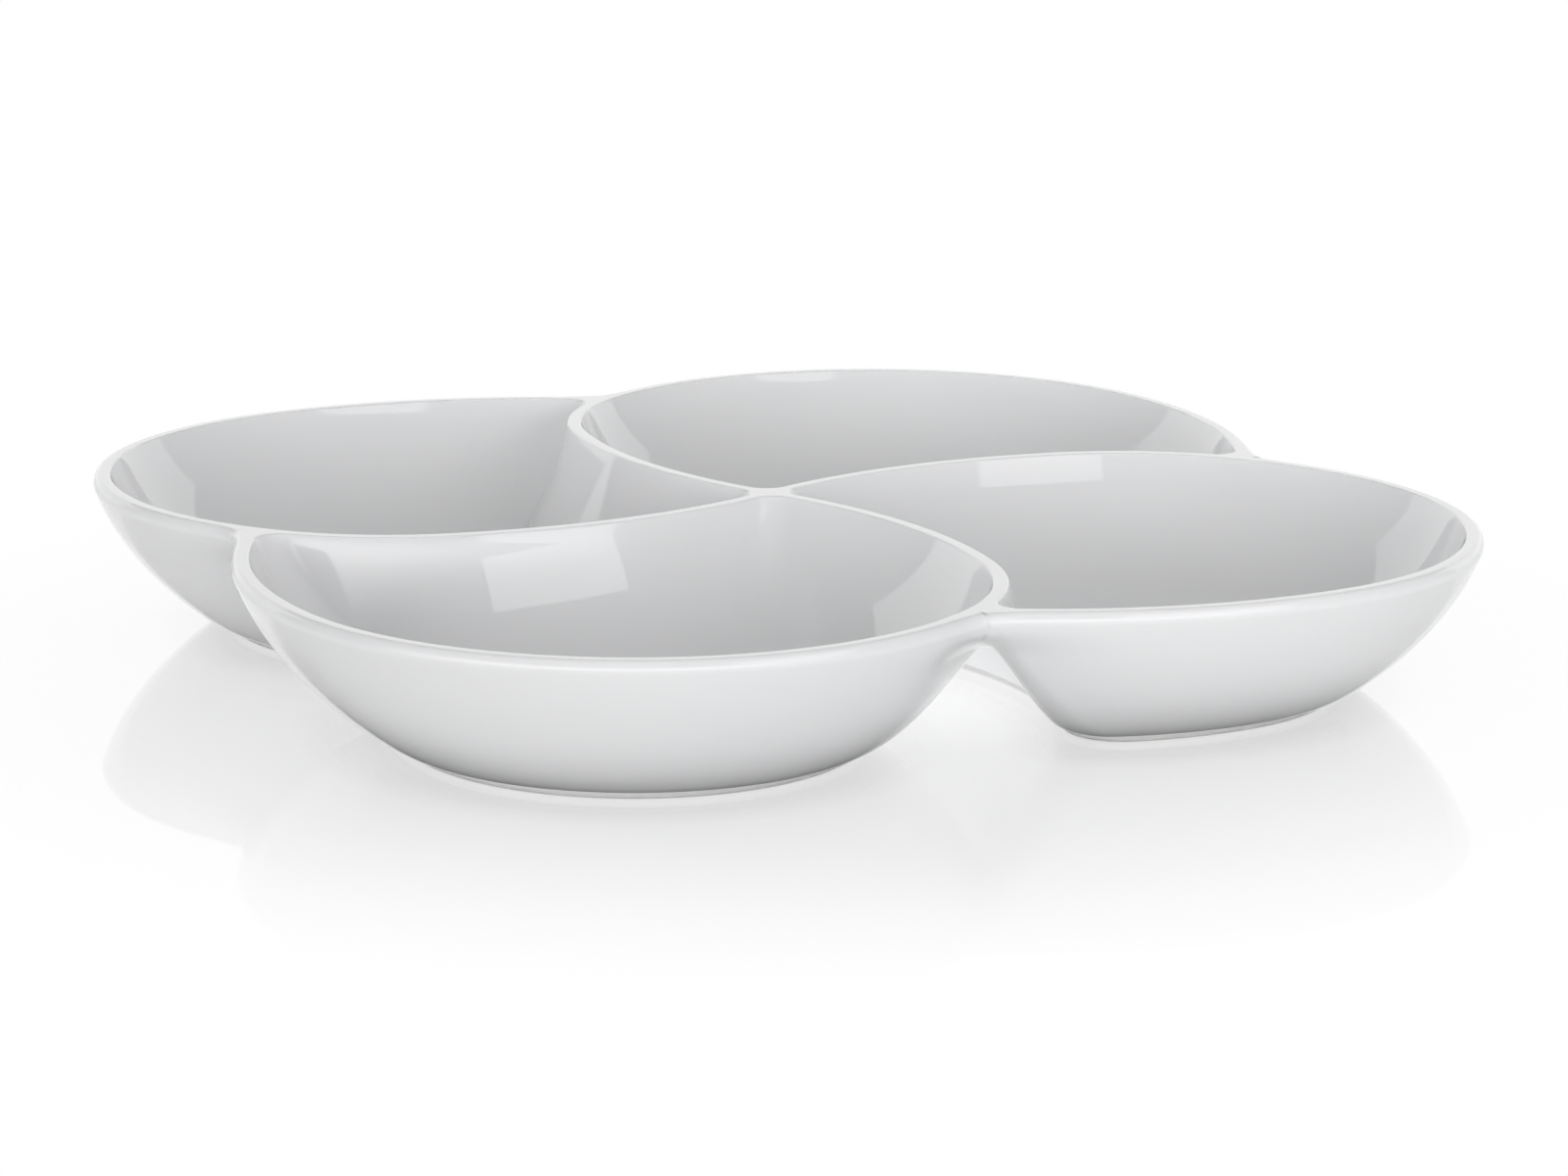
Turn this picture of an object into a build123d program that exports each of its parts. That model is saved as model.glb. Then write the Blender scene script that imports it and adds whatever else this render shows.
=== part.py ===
"""Divided serving bowl: four leaf-shaped bowls in a pinwheel, each on a low foot ring.

Millimetres, +Z up, origin on the floor under the middle of the dish, front towards -Y.
The left leaf is shaped once and turned by quarters to the other three places. Where two
leaves meet, the seam runs along the ridge of the divider between them.
"""
from build123d import *
import math
import os

# Overall height, floor to rim
HEIGHT = 32.5

# Rim line of one leaf: four tangent arcs from the middle of the dish, all turning right
RIM_HEADING = 232.5
DIVIDER_RADIUS = 116.0
DIVIDER_SWEEP = 37.5
SHOULDER_RADIUS = 54.0
SHOULDER_SWEEP = 41.0
BELLY_RADIUS = 70.0
BELLY_SWEEP = 120.0
TAIL_RADIUS = 106.0
TAIL_SWEEP = 35.0

# Wall section through the belly: a middle line with half the wall on each side
WALL = 4.0
RIM_FLAT = 1.0
RIM_STEEPNESS = 70.0
RIM_REACH = 16.0
BASE_STEEPNESS = 24.0
BASE_REACH = 6.5
BASE_INSET = 25.0

# Share of the way in that is even all round; the rest shrinks towards the leaf's heart
EVEN_SHARE = 0.3

# Rounding of a leaf's two corners, seen from above
CORNER_AT_RIM = 5.0
CORNER_AT_BASE = 10.0

# Foot ring under each leaf
FOOT_HEIGHT = 1.5
FOOT_INSET = 27.5
FOOT_WIDTH = 4.0

# Sections drawn for a loft
RIM_SECTIONS = 4
WALL_SECTIONS = 6

# Set by the sizes above
QUARTER = 90.0
RIM_ROUND = WALL / 2
RIM_TOP = RIM_ROUND - math.sqrt(RIM_ROUND**2 - (RIM_FLAT / 2)**2)
BASE_DEPTH = HEIGHT - FOOT_HEIGHT + RIM_TOP
FAR = 2 * (BELLY_RADIUS + DIVIDER_RADIUS)
NAMES = ("left", "front", "right", "back")


def along(centre, radius, angle):
    """Point of a circle at an angle."""
    return centre[0] + radius * math.cos(angle), centre[1] + radius * math.sin(angle)


def rim_arcs():
    """Centre, radius, start angle and end angle of each arc of the left leaf's rim line."""
    radii = (DIVIDER_RADIUS, SHOULDER_RADIUS, BELLY_RADIUS, TAIL_RADIUS)
    sweeps = (DIVIDER_SWEEP, SHOULDER_SWEEP, BELLY_SWEEP, TAIL_SWEEP)
    point = (0.0, 0.0)
    angle = math.radians(RIM_HEADING + QUARTER)
    arcs = []
    for radius, sweep in zip(radii, sweeps):
        centre = along(point, -radius, angle)
        end = angle - math.radians(sweep)
        arcs.append((centre, radius, angle, end))
        point = along(centre, radius, end)
        angle = end
    return arcs


def turned(arc, quarters):
    """An arc turned about the middle of the dish by quarter turns."""
    (x, y), radius, start, end = arc
    turn = math.radians(QUARTER) * quarters
    distance = math.hypot(x, y)
    bearing = math.atan2(y, x) + turn
    return along((0.0, 0.0), distance, bearing), radius, start + turn, end + turn


OWN = rim_arcs()
NEIGHBOUR = [turned(arc, -1) for arc in OWN]
MIDDLE = (0.0, 0.0)
TIP = along(OWN[-1][0], OWN[-1][1], OWN[-1][3])
HEART = OWN[2][0]


def crossing(first, first_radius, second, second_radius, near):
    """Where two circles cross, taking the crossing closer to a given point."""
    dx, dy = second[0] - first[0], second[1] - first[1]
    gap = math.hypot(dx, dy)
    out = (first_radius**2 - second_radius**2 + gap**2) / (2 * gap)
    side = math.sqrt(max(first_radius**2 - out**2, 0.0))
    foot = (first[0] + out * dx / gap, first[1] + out * dy / gap)
    ends = [(foot[0] - s * side * dy / gap, foot[1] + s * side * dx / gap) for s in (1, -1)]
    return min(ends, key=lambda p: math.dist(p, near))


def bearing(centre, point, like):
    """Direction from a centre to a point, as the angle closest to a given one."""
    angle = math.atan2(point[1] - centre[1], point[0] - centre[0])
    return like + math.remainder(angle - like, 2 * math.pi)


def right_turn(start, end):
    """Turn from one direction to another, turning right."""
    return (start - end) % (2 * math.pi)


def corner_centre(own, neighbour, inset, corner, near):
    """Centre of the rounding between the leaf's own rim and its neighbour's divider."""
    return crossing(own[0], own[1] - inset - corner,
                    neighbour[0], neighbour[1] + inset + corner, near)


def outline(inset, corner):
    """Arcs of the leaf's outline drawn in by inset, with both corners rounded."""
    tip = corner_centre(OWN[3], NEIGHBOUR[1], inset, corner, TIP)
    mid = corner_centre(OWN[0], NEIGHBOUR[0], inset, corner, MIDDLE)
    own_start = bearing(OWN[0][0], mid, OWN[0][2])
    own_end = bearing(OWN[3][0], tip, OWN[3][3])
    side_start = bearing(NEIGHBOUR[1][0], tip, NEIGHBOUR[1][3])
    side_end = bearing(NEIGHBOUR[0][0], mid, NEIGHBOUR[0][2])
    arcs = [(centre, radius - inset, start, end) for centre, radius, start, end in OWN]
    arcs[0] = arcs[0][:2] + (own_start, arcs[0][3])
    arcs[3] = arcs[3][:3] + (own_end,)
    arcs.append((tip, corner, own_end, own_end - right_turn(own_end, side_start + math.pi)))
    arcs.append((NEIGHBOUR[1][0], NEIGHBOUR[1][1] + inset, side_start, NEIGHBOUR[1][2]))
    arcs.append((NEIGHBOUR[0][0], NEIGHBOUR[0][1] + inset, NEIGHBOUR[0][3], side_end))
    arcs.append((mid, corner, own_start + right_turn(side_end + math.pi, own_start), own_start))
    return arcs


def section(inset, way_in, depth):
    """Face of the leaf's outline at a depth below the rim, drawn further in by a wall's slope."""
    inset += EVEN_SHARE * way_in
    scale = 1 - (1 - EVEN_SHARE) * way_in / BELLY_RADIUS
    corner = CORNER_AT_RIM + (CORNER_AT_BASE - CORNER_AT_RIM) * depth / BASE_DEPTH
    z = HEIGHT + RIM_TOP - depth
    edges = []
    for centre, radius, start, end in outline(inset, corner / scale):
        points = [along(centre, radius, a) for a in (start, (start + end) / 2, end)]
        points = [(HEART[0] + scale * (x - HEART[0]), HEART[1] + scale * (y - HEART[1]), z)
                  for x, y in points]
        edges.append(ThreePointArc(*points))
    return make_face(edges)


def middle_line(t):
    """Inset and depth on the wall's middle line, and its direction there; t from 0 to 1."""
    top = math.radians(RIM_STEEPNESS)
    low = math.radians(BASE_STEEPNESS)
    ends_at = BASE_DEPTH - RIM_ROUND * math.cos(low)
    p0 = (0.0, RIM_ROUND)
    p1 = (RIM_REACH * math.cos(top), RIM_ROUND + RIM_REACH * math.sin(top))
    p2 = (BASE_INSET - BASE_REACH * math.cos(low), ends_at - BASE_REACH * math.sin(low))
    p3 = (BASE_INSET, ends_at)
    s = 1 - t
    place = [s**3 * a + 3 * s * s * t * b + 3 * s * t * t * c + t**3 * d
             for a, b, c, d in zip(p0, p1, p2, p3)]
    slope = [s * s * (b - a) + 2 * s * t * (c - b) + t * t * (d - c)
             for a, b, c, d in zip(p0, p1, p2, p3)]
    length = math.hypot(*slope)
    return place, (slope[0] / length, slope[1] / length)


def rim_sections(side):
    """Sections round the rim, from its small flat to the head of one face of the wall."""
    start = math.asin(RIM_FLAT / WALL)
    end = math.radians(QUARTER - side * (QUARTER - RIM_STEEPNESS))
    faces = []
    for i in range(RIM_SECTIONS):
        a = start + (end - start) * i / (RIM_SECTIONS - 1)
        faces.append(section(side * RIM_ROUND * math.sin(a), 0.0, RIM_ROUND * (1 - math.cos(a))))
    return faces


def wall_sections(side):
    """Sections down one face of the wall: side +1 inside the bowl, -1 outside."""
    head = side * RIM_ROUND * math.sin(math.radians(RIM_STEEPNESS))
    faces = []
    for i in range(WALL_SECTIONS):
        (inset, depth), (inwards, down) = middle_line(i / (WALL_SECTIONS - 1))
        inset += side * RIM_ROUND * down
        depth -= side * RIM_ROUND * inwards
        faces.append(section(head, inset - head, depth))
    return faces


def plug(side):
    """Solid under the inner or the outer face of the wall, from the rim to the base."""
    return loft(rim_sections(side)) + loft(wall_sections(side))


def seam():
    """One seam: along the divider to the junction, then out between the two leaves."""
    tail = turned(OWN[3], 1)
    meet = crossing(OWN[1][0], OWN[1][1], tail[0], tail[1], along(tail[0], tail[1], tail[3]))
    own_angle = bearing(OWN[1][0], meet, OWN[1][3])
    own_way = own_angle - math.pi / 2
    tail_way = bearing(tail[0], meet, tail[3]) + math.pi / 2
    split = math.atan2(math.sin(own_way) + math.sin(tail_way),
                       math.cos(own_way) + math.cos(tail_way))
    end = along(meet, FAR, split)
    divider = [along(OWN[0][0], OWN[0][1], a)
               for a in (OWN[0][2], (OWN[0][2] + OWN[0][3]) / 2, OWN[0][3])]
    shoulder = [along(OWN[1][0], OWN[1][1], a) for a in ((OWN[1][2] + own_angle) / 2, own_angle)]
    return divider + shoulder + [end]


def quarter_back(point):
    """A plan point turned by a quarter to the right about the middle of the dish."""
    return point[1], -point[0]


def sector():
    """Prism that holds everything of the left leaf, between its two seams."""
    own = seam()
    other = [quarter_back(p) for p in own]
    edges = [Line(own[5], other[5])]
    for p in (own, other):
        edges += [ThreePointArc(*p[:3]), ThreePointArc(*p[2:5]), Line(*p[4:])]
    return extrude(make_face(edges), amount=HEIGHT, dir=(0, 0, 1))


def leaf_bowl():
    """Open bowl of the left leaf, cut at its seams."""
    return (plug(-1) & sector()) - plug(1)


def leaf_foot():
    """Low ring that the left leaf stands on."""
    ring = section(0.0, FOOT_INSET, BASE_DEPTH) - section(FOOT_WIDTH, FOOT_INSET, BASE_DEPTH)
    return extrude(ring, amount=FOOT_HEIGHT, dir=(0, 0, -1))


os.makedirs("parts", exist_ok=True)
PIECES = {"bowl": leaf_bowl(), "foot": leaf_foot()}
for quarters, place in enumerate(NAMES):
    for kind, piece in PIECES.items():
        node = Rot(0, 0, QUARTER * quarters) * piece
        node.label = f"{place}_{kind}"
        export_step(node, f"parts/{place}_{kind}.step")
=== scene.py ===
"""Looks of the divided serving bowl: four glazed leaf bowls on foot rings, and a white studio."""

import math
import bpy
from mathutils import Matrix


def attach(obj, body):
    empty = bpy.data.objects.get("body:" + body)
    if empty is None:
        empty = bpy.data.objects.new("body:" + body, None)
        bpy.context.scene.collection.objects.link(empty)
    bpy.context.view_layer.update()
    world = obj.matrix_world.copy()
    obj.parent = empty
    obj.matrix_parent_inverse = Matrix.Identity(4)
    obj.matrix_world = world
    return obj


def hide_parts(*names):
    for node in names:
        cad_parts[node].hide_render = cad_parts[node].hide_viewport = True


bl_info = {
    "name": "Divided Serving Bowl",
    "version": (1, 0, 0),
    "blender": (4, 5, 0),
    "location": "3D View > Sidebar > Serving Bowl",
    "description": "Makes the four glazed bowls of a divided dish, their foot rings and a white studio",
    "category": "Object",
}

import bpy
import numpy as np
from mathutils import Matrix, Vector

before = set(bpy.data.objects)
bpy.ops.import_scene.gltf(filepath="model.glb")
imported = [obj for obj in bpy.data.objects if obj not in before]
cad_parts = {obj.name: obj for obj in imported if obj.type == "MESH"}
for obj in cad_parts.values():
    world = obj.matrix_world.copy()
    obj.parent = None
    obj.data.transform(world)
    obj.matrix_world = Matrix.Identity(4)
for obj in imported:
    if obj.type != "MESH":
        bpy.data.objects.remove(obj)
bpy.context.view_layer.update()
MM = 0.001
TURN = 2 * math.pi
TINY = 1e-15
PLACES = ("left", "front", "right", "back")


# Settings that a user would change

def length(name, description, default):
    """A length property, given in millimetres and kept in metres."""
    return bpy.props.FloatProperty(name=name, description=description, default=default * MM,
                                   unit="LENGTH", precision=4)


def angle(name, description, default):
    """An angle property, given in degrees and kept in radians."""
    return bpy.props.FloatProperty(name=name, description=description,
                                   default=math.radians(default), subtype="ANGLE")


def share(name, description, default):
    """A plain number between nothing and one."""
    return bpy.props.FloatProperty(name=name, description=description, default=default,
                                   min=0.0, max=1.0, subtype="FACTOR")


def tint(name, description, default):
    """A colour property, given as an sRGB hex value and kept as linear light."""
    return bpy.props.FloatVectorProperty(name=name, description=description, size=3,
                                         default=linear(default), subtype="COLOR")


def strength(name, description, default):
    """A strength of light, where one is white."""
    return bpy.props.FloatProperty(name=name, description=description, default=default, min=0.0)


def linear(hex_colour):
    """Linear light of an sRGB hex colour."""
    levels = [int(hex_colour[i:i + 2], 16) / 255 for i in (1, 3, 5)]
    return tuple(v / 12.92 if v <= 0.04045 else ((v + 0.055) / 1.055) ** 2.4 for v in levels)


class DishSizes(bpy.types.PropertyGroup):
    """Sizes of the dish."""
    height: length("Height", "Floor to the top of the rim", 32.5)
    heading: angle("Heading", "Direction in which the left leaf's divider leaves the middle", 232.5)
    divider_radius: length("Divider Radius", "Radius of the rim along a divider", 116.0)
    divider_sweep: angle("Divider Sweep", "Turn of the rim along a divider", 37.5)
    shoulder_radius: length("Shoulder Radius", "Radius of the rim past the divider", 54.0)
    shoulder_sweep: angle("Shoulder Sweep", "Turn of the rim past the divider", 41.0)
    belly_radius: length("Belly Radius", "Radius of the widest stretch of the rim", 70.0)
    belly_sweep: angle("Belly Sweep", "Turn of the widest stretch of the rim", 120.0)
    tail_radius: length("Tail Radius", "Radius of the rim's last stretch", 106.0)
    tail_sweep: angle("Tail Sweep", "Turn of the rim's last stretch", 35.0)
    wall: length("Wall", "Thickness of the wall", 4.0)
    rim_steepness: angle("Rim Steepness", "Slope of the wall under the rim", 70.0)
    rim_reach: length("Rim Reach", "How far the wall keeps to that slope", 16.0)
    base_steepness: angle("Base Steepness", "Slope of the wall at the base", 24.0)
    base_reach: length("Base Reach", "How far the wall keeps to that slope", 6.5)
    base_inset: length("Base Inset", "How far the base lies inside the rim", 25.0)
    even_share: share("Even Share", "Share of the way in that is even all round", 0.3)
    corner_at_rim: length("Corner at Rim", "Rounding of a leaf's corners at the rim", 5.0)
    corner_at_base: length("Corner at Base", "Rounding of a leaf's corners at the base", 10.0)
    rim_inner_round: length("Rim Inner Round", "Rounding of the rim's inner edge", 0.5)
    rim_outer_round: length("Rim Outer Round", "Width of the rounding of the rim's outer edge", 1.4)
    floor_blend: length("Floor Blend", "Softness of the turn from wall to floor", 1.6)
    edge_blend: length("Edge Blend", "Softness of the turn from wall to base", 0.6)
    seam_blend: length("Seam Blend", "Softness of the hollow between two leaves", 3.6)
    arch_relief: length("Arch Relief", "Clay taken off the wall under a divider", 2.4)
    arch_width: length("Arch Width", "How far from a divider the clay is taken off", 14.0)
    foot_height: length("Foot Height", "Height of a foot ring", 1.5)
    foot_inset: length("Foot Inset", "How far a foot ring lies inside the rim", 27.5)
    foot_width: length("Foot Width", "Width of a foot ring", 4.0)
    foot_round: length("Foot Round", "Rounding of a foot ring's lower edges", 0.7)


class DishFinish(bpy.types.PropertyGroup):
    """Colours of the dish."""
    glaze: tint("Glaze", "Colour of the glazed porcelain", "#E8E8E9")
    glaze_deep: tint("Thick Glaze", "Colour where the glaze is a little thicker", "#E5E6E7")
    biscuit: tint("Biscuit", "Colour of the bare clay under the foot rings", "#F0EFED")
    speck: tint("Speck", "Colour of the fine specks in the bare clay", "#E8E6E1")


class StudioLook(bpy.types.PropertyGroup):
    """Light and floor of the studio."""
    paper: tint("Floor", "Colour of the floor", "#F4F4F4")
    # Painted shade: a dark floor colour under the edge of the dish, where its shadow falls
    contact_shade: tint("Contact", "Colour of the floor right under the edge of the dish", "#707070")
    panel: strength("Panel", "Light of the white panel behind the dish", 1.35)
    front: strength("Front", "Light of the room in front, low down", 3.5)
    side: strength("Side", "Light of the room at the sides, low down", 0.4)
    upper: strength("Upper", "Light of the room higher up, at the sides and behind", 0.4)
    ceiling: strength("Ceiling", "Light of the ceiling", 0.63)
    # Painted glow: the floor under the dish gives off light, though it is no lamp
    sheet_glow: strength("Sheet Glow", "Light that the floor gives under the dish", 0.8)
    window: strength("Window", "Light of the soft box in front on the right", 2.0)
    shadow: share("Shadow", "How much of its shadow the floor shows", 0.15)


# Plan of one leaf

# Numbers of arcs in the order of Leaf.arcs, and how many mesh lines cross each of the eight
DIVIDER, SHOULDER, BELLY, TAIL = range(4)
TIP_CORNER, MIDDLE_CORNER = 4, 7
ARC_LINES = (56, 40, 116, 52, 30, 36, 56, 18)


def unit(direction):
    """Plan way of length one at an angle."""
    return np.array([math.cos(direction), math.sin(direction)])


def normalised(ways):
    """Ways brought to length one."""
    return ways / np.maximum(np.linalg.norm(ways, axis=-1, keepdims=True), TINY)


def rim_arcs(size):
    """The left leaf's rim line as four tangent arcs, each centre, radius, start and end angle.

    An arc starts where the last one ends and turns right by its sweep about a centre that
    lies a radius to the right of the way it goes.
    """
    point = np.zeros(2)
    start = size.heading + TURN / 4
    arcs = []
    for part in ("divider", "shoulder", "belly", "tail"):
        radius = getattr(size, part + "_radius")
        end = start - getattr(size, part + "_sweep")
        centre = point - radius * unit(start)
        arcs.append((centre, radius, start, end))
        point = centre + radius * unit(end)
        start = end
    return arcs


def turned(arc, quarters):
    """An arc turned about the middle of the dish by quarter turns."""
    centre, radius, start, end = arc
    turn = quarters * TURN / 4
    return plan_turn(centre, quarters), radius, start + turn, end + turn


def plan_turn(points, quarters):
    """Plan points turned about the middle of the dish by quarter turns."""
    x, y = points[..., 0], points[..., 1]
    for _ in range(quarters % 4):
        x, y = -y, x
    return np.stack([x, y], -1)


def crossing(first, first_radius, second, second_radius, near):
    """Where two circles cross, taking the crossing closer to a point; radii may be arrays."""
    way = second - first
    gap = math.hypot(*way)
    way = way / gap
    out = (first_radius**2 - second_radius**2 + gap**2) / (2 * gap)
    side = np.sqrt(np.maximum(first_radius**2 - out**2, 0.0))
    foot = first + np.multiply.outer(out, way)
    across = np.multiply.outer(side, np.array([-way[1], way[0]]))
    ends = foot + across, foot - across
    closer = np.linalg.norm(ends[0] - near, axis=-1) <= np.linalg.norm(ends[1] - near, axis=-1)
    return np.where(closer[..., None], *ends)


def bearing(centre, point, like):
    """Direction from a centre to a point, as the angle closest to a given one."""
    way = point - centre
    turn = np.arctan2(way[..., 1], way[..., 0]) - like
    return like + (turn + TURN / 2) % TURN - TURN / 2


def share_at(arc, point):
    """Share of an arc, from its start, where it comes abreast of a point."""
    centre, _, start, end = arc
    return float((bearing(centre, point, start) - start) / (end - start))


class Leaf:
    """Plan of the left leaf: its rim arcs, its neighbour's, and where its seams run."""

    def __init__(self, size):
        self.size = size
        self.own = rim_arcs(size)
        self.side = [turned(arc, -1) for arc in self.own]
        self.heart = self.own[BELLY][0]
        centre, radius, _, end = self.own[TAIL]
        beside, beside_radius, _, _ = self.side[SHOULDER]
        self.tip = crossing(centre, radius, beside, beside_radius, centre + radius * unit(end))
        self.shoulder_end = plan_turn(self.tip, 1)
        onward = bearing(beside, self.tip, 0.0) - TURN / 4
        back = bearing(centre, self.tip, 0.0) + TURN / 4
        self.split = normalised(unit(onward) + unit(back))
        self.rim = self.arcs(np.zeros(()), np.asarray(size.corner_at_rim))
        self.stops = [self.arc_stops(number) for number in range(len(self.rim))]

    def arcs(self, inset, corner):
        """The eight arcs of the outline drawn in by inset, with both corners rounded.

        In order: own divider, shoulder, belly and tail, the tip corner, then back along the
        neighbour's shoulder and divider to the middle corner. A corner's centre is where the
        two sides, drawn in by inset and corner together, cross.
        """
        divider, tail = self.own[DIVIDER], self.own[TAIL]
        beside, across = self.side[SHOULDER], self.side[DIVIDER]
        tip = crossing(tail[0], tail[1] - inset - corner,
                       beside[0], beside[1] + inset + corner, self.tip)
        mid = crossing(divider[0], divider[1] - inset - corner,
                       across[0], across[1] + inset + corner, np.zeros(2))
        own_start = bearing(divider[0], mid, divider[2])
        own_end = bearing(tail[0], tip, tail[3])
        side_start = bearing(beside[0], tip, beside[3])
        side_end = bearing(across[0], mid, across[2])
        still = np.zeros_like(inset)
        arcs = [(c, r - inset, a + still, b + still) for c, r, a, b in self.own]
        arcs[DIVIDER] = (*arcs[DIVIDER][:2], own_start, arcs[DIVIDER][3])
        arcs[TAIL] = (*arcs[TAIL][:3], own_end)
        tip_turn = (own_end - side_start - TURN / 2) % TURN
        mid_turn = (side_end + TURN / 2 - own_start) % TURN
        arcs.append((tip, corner, own_end, own_end - tip_turn))
        arcs.append((beside[0], beside[1] + inset, side_start, beside[2] + still))
        arcs.append((across[0], across[1] + inset, across[3] + still, side_end))
        arcs.append((mid, corner, own_start + mid_turn, own_start))
        return arcs

    def seam_ends(self):
        """Where the seams end on the outline, by the number of the arc there."""
        return {BELLY: self.shoulder_end, TIP_CORNER: self.tip, MIDDLE_CORNER: np.zeros(2)}

    def arc_stops(self, number):
        """Where the mesh lines cross an arc, as shares of it, with one line to each seam's end."""
        count = ARC_LINES[number]
        end = self.seam_ends().get(number)
        if end is None:
            return np.arange(count) / count
        cut = share_at(self.rim[number], end)
        first = max(2, round(count * cut))
        return np.concatenate([cut * np.arange(first) / first,
                               cut + (1 - cut) * np.arange(count - first) / (count - first)])

    def ring(self, inset, scale, corner):
        """Outline points of whole rows at once, and the way out from each in plan.

        Row by row the outline is drawn in by inset, then shrunk to scale about the heart.
        """
        points, ways = [], []
        for arc, stops in zip(self.arcs(inset, corner / scale), self.stops):
            centre, radius, start, end = arc
            a = start[:, None] + (end - start)[:, None] * stops
            way = np.stack([np.cos(a), np.sin(a)], -1)
            centre = np.broadcast_to(centre, (len(inset), 2))[:, None]
            points.append(centre + radius[:, None, None] * way)
            ways.append(way * np.sign(start - end)[:, None, None])
        points = np.concatenate(points, 1)
        points = self.heart + scale[:, None, None] * (points - self.heart)
        return points, np.concatenate(ways, 1)

    def distance(self, points, inset, scale, corner):
        """Distance in plan from points to the outline, above nothing outside it.

        Of the arcs that a point is abreast of, the closest one counts. It is the distance to
        the arc's centre less the radius, or the other way round where the arc curves inwards.
        """
        points = self.heart + (points - self.heart) / scale[..., None]
        best = np.full(points.shape[:-1], np.inf)
        for centre, radius, start, end in self.arcs(inset, corner / scale):
            way = points - centre
            convex = np.sign(start - end)
            a = np.arctan2(way[..., 1], way[..., 0])
            abreast = (convex * (start - a)) % TURN <= np.abs(start - end) + 1e-9
            gap = convex * (np.linalg.norm(way, axis=-1) - radius)
            best = np.where(abreast & (np.abs(gap) < np.abs(best)), gap, best)
        return scale * best


# Section of the wall

# Thickness of the floor, as a share of the wall's
FLOOR_SHARE = 0.92

# How far the faces run along the middle line, which ends at 1, and the steps of the outer one
INNER_RUN = 1.9
OUTER_RUN = 3.0
OUTER_STEPS = 400

# Where the outside starts on the rim's round, as an angle from its widest level, and the steps
RIM_START = -TURN / 6
RIM_STEPS = 24

# Depth at which the clay taken off under a divider starts, and how far it takes to grow
ARCH_START = 3.5 * MM
ARCH_GROWTH = 6 * MM

# Steps of a search by halving, and the small step that finds a slope
HALVINGS = 26
SLOPE_STEP = 0.02 * MM


def middle_line(size, t):
    """Inset and depth on the wall's middle line, and its direction there.

    A cubic curve from under the rim's round to the base; past its end it runs on straight.
    """
    half = size.wall / 2
    bottom = size.height - size.foot_height - half * math.cos(size.base_steepness)
    p0 = np.array([0.0, half])
    p3 = np.array([size.base_inset, bottom])
    p1 = p0 + size.rim_reach * unit(size.rim_steepness)
    p2 = p3 - size.base_reach * unit(size.base_steepness)
    c = np.clip(t, 0, 1)[:, None]
    s = 1 - c
    place = s**3 * p0 + 3 * s * s * c * p1 + 3 * s * c * c * p2 + c**3 * p3
    place = place + np.maximum(t - 1, 0)[:, None] * 3 * (p3 - p2)
    way = s * s * (p1 - p0) + 2 * s * c * (p2 - p1) + c * c * (p3 - p2)
    return place, normalised(way)


def wall_face(size, side, t, level, softness):
    """Inset and depth of one face of the wall, levelling off softly: side +1 inside, -1 outside.

    The face lies half a wall off the middle line. Its depth is a soft minimum of the wall's own
    depth and the depth of the floor or base.
    """
    place, way = middle_line(size, t)
    inset = place[:, 0] + side * size.wall / 2 * way[:, 1]
    depth = place[:, 1] - side * size.wall / 2 * way[:, 0]
    depth = -softness * np.logaddexp(-depth / softness, -level / softness)
    return inset, depth


def rows_of(size, side, inset, depth):
    """Even inset, scale about the heart and corner rounding of wall rows at inset and depth."""
    head = side * size.wall / 2 * math.sin(size.rim_steepness)
    way_in = np.maximum(inset - head, 0.0)
    even = np.where(inset > head, head + size.even_share * way_in, inset)
    scale = 1 - (1 - size.even_share) * way_in / size.belly_radius
    span = (size.corner_at_base - size.corner_at_rim) / (size.height - size.foot_height)
    return even, scale, size.corner_at_rim + span * depth


def halved(low, high, passed):
    """Where a test starts to pass between low and high, for whole arrays at once."""
    for _ in range(HALVINGS):
        middle = (low + high) / 2
        found = passed(middle)
        high = np.where(found, middle, high)
        low = np.where(found, low, middle)
    return (low + high) / 2


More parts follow.
